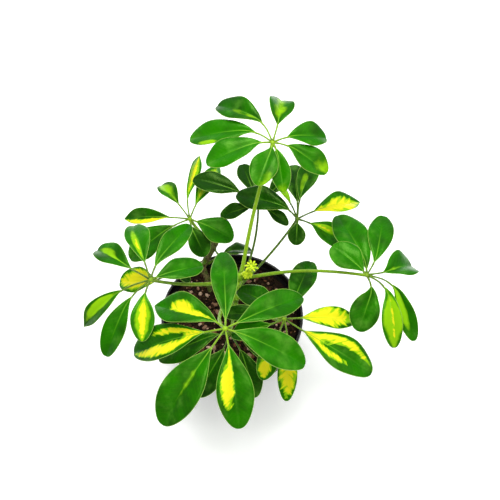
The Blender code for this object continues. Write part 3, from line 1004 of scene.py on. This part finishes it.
@dataclass(frozen=True)
class Leaf:
    """A compound leaf: a petiole that leaves a stem and a whorl of leaflets on its hub."""

    name: str
    node: tuple[float, float, float]  # where it leaves the stem
    hub: tuple[float, float, float]
    radii: tuple[float, float]  # at the stem and at the hub
    arrive: float  # pitch of the petiole at the hub
    bow: float  # how far it bends to its left
    leaflets: tuple[Leaflet, ...]
    age: float = 0.15
    seed: int = 0

    hub_radius: ClassVar[float] = 2.2
    hub_flatness: ClassVar[float] = 0.72
    foot_depth: ClassVar[float] = 1.2  # how far from the stem's axis the petiole starts
    bark_radius: ClassVar[float] = 3.7
    hub_gap: ClassVar[float] = 2.9  # from the arc's end to the middle of the hub
    steps: ClassVar[int] = 36
    sides: ClassVar[int] = 14

    def centre_line(self) -> list[Vector]:
        """The petiole's centre line, from inside the stem's bark to inside the hub.

        Returns:
            Its points, in millimetres.
        """
        node, hub = Vector(self.node), Vector(self.hub)
        span = hub - node
        run = Vector((span.x, span.y, 0.0)).normalized()
        steepness = max(span.normalized().z, 0.2)
        start = node + run * (self.bark_radius + self.radii[0] * steepness)
        rise = radians(self.arrive)
        arrive = Vector((run.x * cos(rise), run.y * cos(rise), sin(rise)))
        end = hub - arrive * self.hub_gap
        reach = (end - start).length
        leave = (2 * (end - start) / reach - arrive).normalized()
        left = Vector((-run.y, run.x, 0.0))
        points = [node + run * self.foot_depth]
        for step in range(self.steps + 1):
            t = step / self.steps
            points.append((2 * t**3 - 3 * t**2 + 1) * start
                          + (t**3 - 2 * t**2 + t) * leave * reach
                          + (3 * t**2 - 2 * t**3) * end + (t**3 - t**2) * arrive * reach
                          + left * self.bow * sin(pi * t))
        points.append(hub)
        return points

    def petiole(self, finishes: Finishes) -> None:
        """A long stalk that clasps the stem with a flared foot and swells under its hub.

        Args:
            finishes: the plant's finishes.
        """
        bm = bmesh.new()
        line = self.centre_line()
        whole = (line[-1] - line[0]).length
        radii = []
        for index in range(len(line)):
            share = index / (len(line) - 1)
            at_stem = 0.42 * bell(share * whole, 0.0, 5.0)
            at_hub = 0.3 * bell((1.0 - share) * whole, 0.0, 4.0)
            radii.append(mix(*self.radii, share) * (1.0 + at_stem + at_hub))

        def ribbed(angle: float, share: float) -> float:
            """Slightly flattened above, with low lengthwise ribs."""
            return 1.0 + 0.035 * sin(5 * angle) + 0.03 * cos(2 * angle + 4 * share)

        sweep(bm, line, radii, self.sides, ribbed, tone=self.age)
        place_piece(f"stalk_{self.name}", bm, [finishes.stalk],
                    f"petiole_{self.name}")

    def whorl(self, finishes: Finishes) -> None:
        """The hub's knuckle with its leaflets.

        Args:
            finishes: the plant's finishes.
        """
        bm = whorl_mesh()
        knuckle = bmesh.ops.create_icosphere(bm, subdivisions=2, radius=self.hub_radius * MM)
        tone = bm.verts.layers.float_vector[STALK_TONE]
        bmesh.ops.scale(bm, verts=knuckle["verts"], vec=(1.0, 1.0, self.hub_flatness))
        bmesh.ops.translate(bm, verts=knuckle["verts"], vec=metres(self.hub))
        for vert in knuckle["verts"]:
            vert[tone] = (self.age, 0.5, 0.0)
        for face in bm.faces:
            face.material_index = BladeMaker.stalk_skin
        maker = BladeMaker(bm, Vector(self.hub), self.seed, self.age)
        for leaflet in self.leaflets:
            maker.add(leaflet)
        place_piece(f"whorl_{self.name}", bm,
                    [finishes.leaf_top, finishes.leaf_under, finishes.stalk],
                    f"leaflets_{self.name}")

    def build(self, finishes: Finishes) -> None:
        """Builds the petiole and the whorl."""
        self.petiole(finishes)
        self.whorl(finishes)


V = Variegation
# A leaflet's numbers are azimuth, turn, pitch, stalk, length, width, droop, fold and roll.
LEAVES = (
    Leaf("top", (7.7, -3.8, 158), (34.5, 68, 250), (1.8, 1.35), 56, 2.2, (
        Leaflet(111, 32, -12, 19, 52, 24, 46, 16, -6, V.LIME_DUSK),
        Leaflet(71, 13, -2, 14, 34, 24, 80, 24, 14, V.LIME_HEART),
        Leaflet(20, -10, -10, 12, 35, 25, 48),
        Leaflet(-10, -22, -14, 11, 40, 22, 28, 14, 8, V.LIME_TIP),
        Leaflet(-64, -18, -18, 5, 38, 17, 22, 20, 0, V.LIME_TIP),
        Leaflet(-99, -10, -4, 4, 38, 23, 24, 10, 0, V.LIME_TIP),
        Leaflet(177, 21, -12, 8, 49, 28, 24, 10, 6, V.BRIGHT),
        Leaflet(137, 36, -18, 17, 61, 26, 30, 10, 0, V.LIME_EDGE)), 0.1, 100),
    Leaf("upper_left", (-15.5, 51.6, 118), (-37, 60, 146), (1.7, 1.3), 66, 0, (
        Leaflet(100, -20, -9, 17, 63, 12, 34, 26, 30, V.YELLOW_GLOW, 1.1),
        Leaflet(131, -8, -4, 16, 34, 18, 76, 24, 0, V.LIME_HEART, 0.9),
        Leaflet(174, -4, -14, 17, 47, 17, 36, 22, -14, V.YELLOW_STRIP, 1.1),
        Leaflet(-162, 14, -20, 15, 50, 29, 24, 14, 0, V.SHADED),
        Leaflet(-79, 19, -30, 6, 30, 21, 24, 14, 0, V.SHADED),
        Leaflet(-25, 0, -8, 6, 37, 26, 30, 10),
        Leaflet(74, -4, -14, 15, 59, 18, 22, 14, 0, V.YELLOW_GLOW)), 0.3, 200),
    Leaf("upper_right", (5.8, -2.9, 136), (57, 46.5, 168), (1.2, 0.9), 42, 0, (
        Leaflet(125, 32, -8, 10, 53, 26, 22, 8, 0, V.SHADED),
        Leaflet(110, 13, 4, 14, 30, 9, 26, 26, 20, V.LIME_WASH),
        Leaflet(88, 5, -8, 16, 47, 21, 22, 14, 0, V.DARK),
        Leaflet(84, -14, 2, 17, 43, 20, 36, 22, 0, V.LIME_DUSK),
        Leaflet(22, -2, -6, 15, 47, 24, 50, 14, -8, V.YELLOW_LOWER, 1.15),
        Leaflet(-16, -12, -16, 11, 36, 22, 24, 14, 0, V.LIME_STREAK),
        Leaflet(-93, 0, -22, 3, 20, 16, 24, 14, 0, V.DARK)), 0.85, 300),
    Leaf("right", (7.6, -3.8, 155), (111, -20.5, 190), (1.6, 1.2), 14, 4, (
        Leaflet(88, 22, -12, 4, 67, 28, 22, 10),
        Leaflet(128, 8, -2, 3, 36, 26, 22, 10),
        Leaflet(59, 19, -8, 12, 54, 22, 22, 10),
        Leaflet(6, 25, -20, 13, 36, 28, 64, 22, 0, V.LIME_RIB),
        Leaflet(-66, -45, -25, 9, 39, 25, 24),
        Leaflet(-31, -52, -24, 16, 52, 18, 50, 20, 10, V.LIME_FLUSH),
        Leaflet(-13, -54, -24, 20, 52, 16, 46, 18, 24, V.LIME_SIDE)), 0.45, 400),
    Leaf("left", (6.7, -3.3, 150), (-62.5, -33, 205), (1.7, 1.3), 50, 0, (
        Leaflet(155, -14, -8, 17, 42, 22, 66, 22, 0, V.LIME_NOTCH),
        Leaflet(110, -4, -8, 14, 46, 22, 56, 20, 0, V.LIME_STREAK),
        Leaflet(77, -19, -8, 11, 54, 20, 24, 12),
        Leaflet(27, -5, -10, 4, 41, 23, 24, 10, -8),
        Leaflet(-163, 15, -26, 23, 48, 18, 56, 20, 0, V.LIME_SIDE, 1.15),
        Leaflet(-139, 22, -26, 19, 54, 20, 50, 18),
        Leaflet(-109, 18, -12, 11, 40, 20, 30, 16, 0, V.YELLOW_GLOW)), 0.48, 500),
    Leaf("front", (6.9, -3.5, 152), (-2.5, -83, 220), (1.6, 1.3), 62, -9, (
        Leaflet(88, 5, -12, 6, 72, 22, 24, 12),
        Leaflet(136, 19, -20, 8, 62, 29, 28, 14, 0, V.YELLOW_FOOT, 1.0),
        Leaflet(180, -1, -32, 16, 71, 29, 26, 12, -10, V.YELLOW_LOBES),
        Leaflet(-125, -2, -22, 17, 70, 33, 30, 10, 0, V.LIME_RIB),
        Leaflet(-78, -4, -22, 12, 64, 29, 28, 12, 0, V.YELLOW_STREAK),
        Leaflet(-15, -5, -18, 6, 62, 29, 28, 10),
        Leaflet(30, 0, -12, 9, 62, 25)), 0.1, 600),
    Leaf("lower_right", (5.2, -2.6, 126), (44.5, -48, 165), (1.6, 1.2), 66, 0, (
        Leaflet(65, 5, -12, 12, 56, 23, 22, 14, 0, V.SHADED),
        Leaflet(2, 0, -8, 13, 47, 21, 36, 14, 0, V.YELLOW_FULL),
        Leaflet(-35, 7, -12, 18, 66, 31, 28, 10, 0, V.YELLOW_BANDS),
        Leaflet(-80, -12, -25, 15, 52, 17, 24, 16, 0, V.YELLOW_FULL),
        Leaflet(-113, 0, -27, 13, 40, 19, 24, 14, 0, V.YELLOW_TIP),
        Leaflet(123, 17, -18, 9, 47, 22, 22, 14, 0, V.SHADED),
        Leaflet(165, 6, -10, 11, 42, 16, 20, 14, 0, V.DARK),
        Leaflet(-162, -11, -20, 11, 36, 18, 20)), 0.4, 700),
    Leaf("back", (5.4, -2.7, 129), (24, 70.5, 154), (1.2, 0.9), 58, -3, (
        Leaflet(144, 15, -2, 19, 47, 23, 22, 10, 0, V.DARK),
        Leaflet(-162, -7, -14, 6, 30, 16, 20, 14, 0, V.DARK),
        Leaflet(-31, -3, -14, 7, 25, 12, 20, 14, 0, V.DARK),
        Leaflet(111, -4, -5, 11, 37, 18, 20, 14, 0, V.DARK),
        Leaflet(48, 4, -8, 12, 34, 16, 20, 14, 0, V.DARK)), 0.85, 800),
    Leaf("lower_front", (4.2, -2.1, 112), (-1, -52.5, 148), (1.6, 1.2), 64, 0, (
        Leaflet(-175, 14, -15, 8, 56, 25, 24, 10, 0, V.SHADED),
        Leaflet(-107, -16, -20, 13, 46, 26, 26, 10, 0, V.SHADED),
        Leaflet(-54, -18, -20, 16, 42, 22, 24, 14, 0, V.DARK),
        Leaflet(-20, -4, -20, 9, 36, 18, 22, 14, 0, V.DARK)), 0.6, 900),
    Leaf("lower_left", (-24.2, 47.0, 96), (-50.5, -1, 158), (1.4, 1.1), 60, 0, (
        Leaflet(-150, -38, -15, 12, 36, 26, 24, 12, 0, V.YELLOW_CORE),
        Leaflet(40, 0, -14, 5, 13, 9, 22, 14, 0, V.DARK),
        Leaflet(-14, 0, -24, 5, 13, 9, 22, 14, 0, V.DARK)), 0.6, 1000),
    Leaf("low_back", (-26.0, 45.8, 90), (-12, 49.5, 98), (1.2, 0.9), 40, 0, (
        Leaflet(28, -24, 2, 5, 27, 22, 60, 8, -30, V.SHADED),
        Leaflet(121, 0, -8, 5, 20, 10, 20, 14, 0, V.DARK),
        Leaflet(-88, 0, -14, 5, 20, 10, 20, 14, 0, V.DARK)), 0.7, 1100),
)


# ---------------------------------------------------------------- stems and shoot


@dataclass
class Stems:
    """The green main stem and the kinked woody side stem, rooted in the soil."""

    main: tuple = ((0, 0, 51), (0, 0, 65), (2, -1, 98.6), (5, -2.5, 132.2), (8, -4, 161))
    main_radii: tuple[float, float] = (3.7, 2.9)
    side: tuple = ((-21, 31, 51), (-21, 31, 66), (-23.5, 37, 76), (-27, 45, 88), (-21, 49, 102),
                   (-14, 52, 123))
    side_radii: tuple[float, float] = (2.7, 2.9)
    sides: int = 20
    steps: int = 14
    node_swell: float = 0.13
    node_length: float = 1.7
    rounding: float = 0.015  # share of the length over which the top is rounded off

    def rod(self, name: str, points: tuple, radii: tuple[float, float],
            nodes: tuple[float, ...], knobs: float, material: bpy.types.Material) -> None:
        """A stem that thickens at its nodes.

        Args:
            name: the CAD node that it stands for.
            points: plan of the centre line.
            radii: at the foot and at the top.
            nodes: heights at which leaves left or leave the stem.
            knobs: how knobbly the bark is, as a share of the radius.
            material: its bark.
        """
        bm = bmesh.new()
        line = smooth_line(list(points), self.steps)
        thick = []
        for index, point in enumerate(line):
            share = index / (len(line) - 1)
            swell = min(1.0, sum(bell(point.z, node, self.node_length) for node in nodes))
            near_top = max(0.0, (share - 1.0 + self.rounding) / self.rounding)
            tip = sqrt(max(0.05, 1.0 - near_top ** 2))
            thick.append(mix(*radii, share) * (1.0 + self.node_swell * swell) * tip)

        def knobbly(angle: float, share: float) -> float:
            """Low bumps that keep the stem from being a plain rod."""
            place = Vector((1.6 * cos(angle), 1.6 * sin(angle), 16 * share))
            return 1.0 + knobs * noise.noise(place)

        sweep(bm, line, thick, self.sides, knobbly)
        place_piece(name + "_bark", bm, [material], name)

    def build(self, finishes: Finishes) -> None:
        """Builds both stems.

        Args:
            finishes: the plant's finishes.
        """
        self.rod("main_stem", self.main, self.main_radii,
                 (80, 95, 112, 126, 129, 136, 150, 155), 0.06, finishes.green_stem)
        self.rod("side_stem", self.side, self.side_radii,
                 (74, 90, 96, 108, 118), 0.16, finishes.bark)


@dataclass
class YoungShoot:
    """Two unopened leaves at the growing tip: an open star over a hanging cluster."""

    star_hub: tuple = (17.5, -2.5, 171)
    hanging_hub: tuple = (14.0, -4.5, 167.5)
    knee: tuple = (11.0, -4.6, 164.6)
    foot: tuple = (9.0, -4.2, 160.0)
    radii: tuple[float, float] = (1.5, 0.8)
    arms: int = 9
    hanging: int = 6

    def tuft(self, bm: bmesh.types.BMesh, hub: tuple, seed: int, leaflets: list[Leaflet]) -> None:
        """One unopened leaf of tiny leaflets, all in the shoot's own finish.

        Args:
            bm: the shoot's mesh.
            hub: where the leaflets meet.
            seed: start of their random draws.
            leaflets: their sizes.
        """
        maker = BladeMaker(bm, Vector(hub), seed, age=0.0, columns=10, rows=6, thickness=0.3,
                           stalk_radius=0.4, under_skin=0, stalk_skin=0)
        for leaflet in leaflets:
            maker.add(leaflet)

    def build(self, finishes: Finishes) -> None:
        """Tiny folded leaflets on a short stalk.

        Args:
            finishes: the plant's finishes.
        """
        bm = whorl_mesh()
        line = smooth_line([self.foot, self.knee, self.hanging_hub, self.star_hub], 5)
        radii = [mix(*self.radii, index / (len(line) - 1)) for index in range(len(line))]
        sweep(bm, line, radii, BladeMaker.rib_sides)
        star = [Leaflet(40 * number + 10, 12, 20 - 6 * (number % 3), 1.6,
                        3.9 + 0.6 * (number % 3), 2.0, 60, 24) for number in range(self.arms)]
        cluster = [Leaflet(-150 + 32 * number, 8, -50 + 8 * (number % 2), 1.2, 5.6, 2.8, 30, 26)
                   for number in range(self.hanging)]
        self.tuft(bm, self.star_hub, 1300, star)
        self.tuft(bm, self.hanging_hub, 1350, cluster)
        place_piece("young_leaves", bm, [finishes.shoot], "young_shoot")


# ---------------------------------------------------------------- pot and soil


@dataclass
class Soil:
    """Potting mix: a lumpy bed covered in crumbs of peat, bark and pumice."""

    radius: float = 60.4
    level: float = 65.2
    crown: float = 1.5
    lump_size: float = 11.0
    lump_height: float = 1.1
    bottom: float = 3.9
    bottom_scale: float = 0.62
    bed_tone: float = 0.25
    sides: int = 96
    rings: int = 26
    ring_width: float = 2.25
    stems: tuple = ((0.0, 0.0, 4.6), (-21.0, 31.0, 3.7))  # place and clearance

    def height(self, x: float, y: float) -> float:
        """Height of the bed, with its hollows and lumps.

        Args:
            x: place on the bed, in millimetres.
            y: place on the bed, in millimetres.

        Returns:
            The height, in millimetres.
        """
        away = sqrt(x * x + y * y) / self.radius
        place = Vector((x / self.lump_size, y / self.lump_size, 3.7))
        lumps = noise.fractal(place, 0.9, 2.1, 4)
        return self.level + self.crown * (1.0 - away * away) + self.lump_height * lumps

    def bed(self, finishes: Finishes) -> None:
        """The body of the soil, which fills the pot up to its surface.

        Args:
            finishes: the plant's finishes.
        """
        bm = bmesh.new()
        tone = bm.verts.layers.float_vector.new(CRUMB_TONE)
        rim = bmesh.ops.create_circle(bm, segments=self.sides, radius=self.radius * MM,
                                      cap_ends=True)["verts"]
        surface = faces_round(rim)
        down = bmesh.ops.extrude_edge_only(bm, edges=list(surface[0].edges))["geom"]
        low = of_kind(down, bmesh.types.BMVert)
        bmesh.ops.translate(bm, verts=low, vec=(0, 0, -(self.level - self.bottom) * MM))
        bmesh.ops.scale(bm, verts=low, vec=(self.bottom_scale, self.bottom_scale, 1.0))
        bmesh.ops.edgeloop_fill(bm, edges=[edge for edge in of_kind(down, bmesh.types.BMEdge)
                                           if all(vert in low for vert in edge.verts)])
        for _ in range(self.rings):
            bmesh.ops.inset_region(bm, faces=surface, thickness=self.ring_width * MM,
                                   use_even_offset=True)
        for vert in bm.verts:
            vert.co.z += self.level * MM
            if vert.co.z > (self.level - 1.0) * MM:
                vert.co.z = self.height(vert.co.x / MM, vert.co.y / MM) * MM
            vert[tone] = (self.bed_tone, 0.0, 0.0)
        bmesh.ops.recalc_face_normals(bm, faces=bm.faces)
        place_piece("soil_bed", bm, [finishes.peat], "potting_soil")

    def clear_of_stems(self, x: float, y: float, size: float) -> bool:
        """True where a crumb of that size doesn't sit on a stem."""
        return all(sqrt((x - a) ** 2 + (y - b) ** 2) > gap + 0.4 * size for a, b, gap in self.stems)

    def crumbs(self, name: str, count: int, sizes: tuple[float, float], flat: float, sink: float,
               seed: int, material: bpy.types.Material) -> None:
        """Scatters one kind of crumb over the bed.

        Args:
            name: the piece's name.
            count: how many there are.
            sizes: smallest and largest, in millimetres across.
            flat: height as a share of the width.
            sink: how deep a crumb sits, as a share of its height.
            seed: start of its random draws.
            material: its finish.
        """
        bm = bmesh.new()
        tone = bm.verts.layers.float_vector.new(CRUMB_TONE)
        draw = random.Random(seed)
        for _ in range(count):
            size = mix(*sizes, draw.random() ** 2.2)
            away = (self.radius - 0.5 * size - 0.4) * sqrt(draw.random())
            angle = draw.uniform(0, 2 * pi)
            x, y = away * cos(angle), away * sin(angle)
            stretch = draw.uniform(0.6, 1.0)
            spin = Matrix.Rotation(draw.uniform(0, 2 * pi), 4, "Z")
            tilt = Matrix.Rotation(draw.gauss(0, 0.35), 4, "X")
            shade = draw.uniform(-0.15, 0.75)
            crumple = Vector([draw.uniform(0, 90) for _ in range(3)])
            if not self.clear_of_stems(x, y, size):
                continue
            crumb = bmesh.ops.create_icosphere(bm, subdivisions=1, radius=0.5)["verts"]
            for vert in crumb:
                vert.co *= 1.0 + 0.45 * noise.noise(vert.co * 2.3 + crumple)
                vert[tone] = (shade, 0.0, 0.0)
            z = self.height(x, y) + size * flat * (0.5 - sink)
            scale = Matrix.Diagonal((size * MM, size * stretch * MM, size * flat * MM, 1.0))
            place = Matrix.Translation(metres((x, y, z))) @ spin @ tilt @ scale
            bmesh.ops.transform(bm, matrix=place, verts=crumb)
        place_piece(name, bm, [material])

    def build(self, finishes: Finishes) -> None:
        """Builds the bed and its crumbs."""
        self.bed(finishes)
        self.crumbs("peat_crumbs", 1700, (1.6, 4.6), 0.7, 0.25, 11, finishes.peat)
        self.crumbs("bark_chips", 260, (2.6, 8.0), 0.34, 0.1, 12, finishes.chips)
        self.crumbs("pumice_grit", 165, (2.2, 6.2), 0.75, 0.2, 13, finishes.pumice)


@dataclass
class Pot:
    """The nursery pot, whose CAD body stays."""

    node: str = "nursery_pot"

    def build(self, nodes: dict[str, bpy.types.Object], finishes: Finishes) -> None:
        """Gives the CAD pot its moulded plastic.

        Args:
            nodes: the CAD model's objects, by name.
            finishes: the plant's finishes.
        """
        pot = nodes[self.node]
        pot.data.materials.clear()
        pot.data.materials.append(finishes.plastic)
        LOG.info("%s keeps its CAD body", self.node)


# ---------------------------------------------------------------- studio


@dataclass(frozen=True)
class SoftLight:
    """A square soft light that faces the plant, placed by its direction and distance."""

    name: str
    azimuth: float
    height: float
    distance: float
    size: float
    power: float

    aim: ClassVar[float] = 140.0  # height of the spot that it faces

    def build(self) -> None:
        """Hangs the light."""
        data = bpy.data.lights.new(self.name, "AREA")
        data.shape = "SQUARE"
        data.size = self.size * MM
        data.energy = self.power
        lamp = bpy.data.objects.new(self.name, data)
        bpy.context.scene.collection.objects.link(lamp)
        away = heading(self.azimuth, self.height)
        lamp.location = metres(away * self.distance + Vector((0, 0, self.aim)))
        lamp.rotation_mode = "QUATERNION"
        lamp.rotation_quaternion = away.to_track_quat("Z", "Y")


@dataclass
class Studio:
    """Pale floor, soft lights and a camera that looks steeply down on the plant."""

    camera_place: tuple[float, float, float] = (16.3, -424.8, 930.8)
    camera_tilt: float = 30.0
    field_of_view: float = 27.0
    floor_size: float = 6000.0
    sky_strength: float = 0.38
    lights: tuple[SoftLight, ...] = (
        SoftLight("key_light", azimuth=108, height=66, distance=1500, size=700, power=21),
        SoftLight("fill_light", azimuth=-80, height=58, distance=1700, size=1500, power=9),
        SoftLight("rim_light", azimuth=20, height=50, distance=1500, size=800, power=4),
        SoftLight("top_light", azimuth=-90, height=78, distance=1600, size=400, power=8))

    def floor(self, finishes: Finishes) -> None:
        """A flat pale board.

        Args:
            finishes: the plant's finishes.
        """
        bm = bmesh.new()
        bmesh.ops.create_grid(bm, x_segments=1, y_segments=1, size=self.floor_size / 2 * MM)
        mesh = bpy.data.meshes.new("studio_floor")
        bm.to_mesh(mesh)
        bm.free()
        mesh.materials.append(finishes.board)
        floor = bpy.data.objects.new("studio_floor", mesh)
        bpy.context.scene.collection.objects.link(floor)

    def sky(self) -> None:
        """Even white light from all round."""
        world = bpy.data.worlds.new("soft_sky")
        world.use_nodes = True
        sky = world.node_tree.nodes["Background"]
        sky.inputs["Color"].default_value = colour("ffffff")
        sky.inputs["Strength"].default_value = self.sky_strength
        bpy.context.scene.world = world

    def camera(self) -> None:
        """A camera above the front of the plant, level from side to side."""
        data = bpy.data.cameras.new("main_camera")
        data.angle = radians(self.field_of_view)
        camera = bpy.data.objects.new("main_camera", data)
        camera.location = metres(self.camera_place)
        camera.rotation_euler = (radians(self.camera_tilt), 0.0, 0.0)
        bpy.context.scene.collection.objects.link(camera)
        bpy.context.scene.camera = camera
        bpy.context.scene.view_settings.view_transform = "Standard"

    def build(self, finishes: Finishes) -> None:
        """Builds the floor, the lights and the camera.

        Args:
            finishes: the plant's finishes.
        """
        self.floor(finishes)
        for light in self.lights:
            light.build()
        self.sky()
        self.camera()


def main() -> None:
    """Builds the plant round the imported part, then its studio."""
    logging.basicConfig(level=logging.INFO, format="%(name)s: %(message)s")
    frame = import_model()
    finishes = Finishes()
    Pot().build(frame["nodes"], finishes)
    Soil().build(finishes)
    Stems().build(finishes)
    for leaf in LEAVES:
        leaf.build(finishes)
    YoungShoot().build(finishes)
    Studio().build(finishes)
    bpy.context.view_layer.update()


if __name__ == "__main__":
    main()
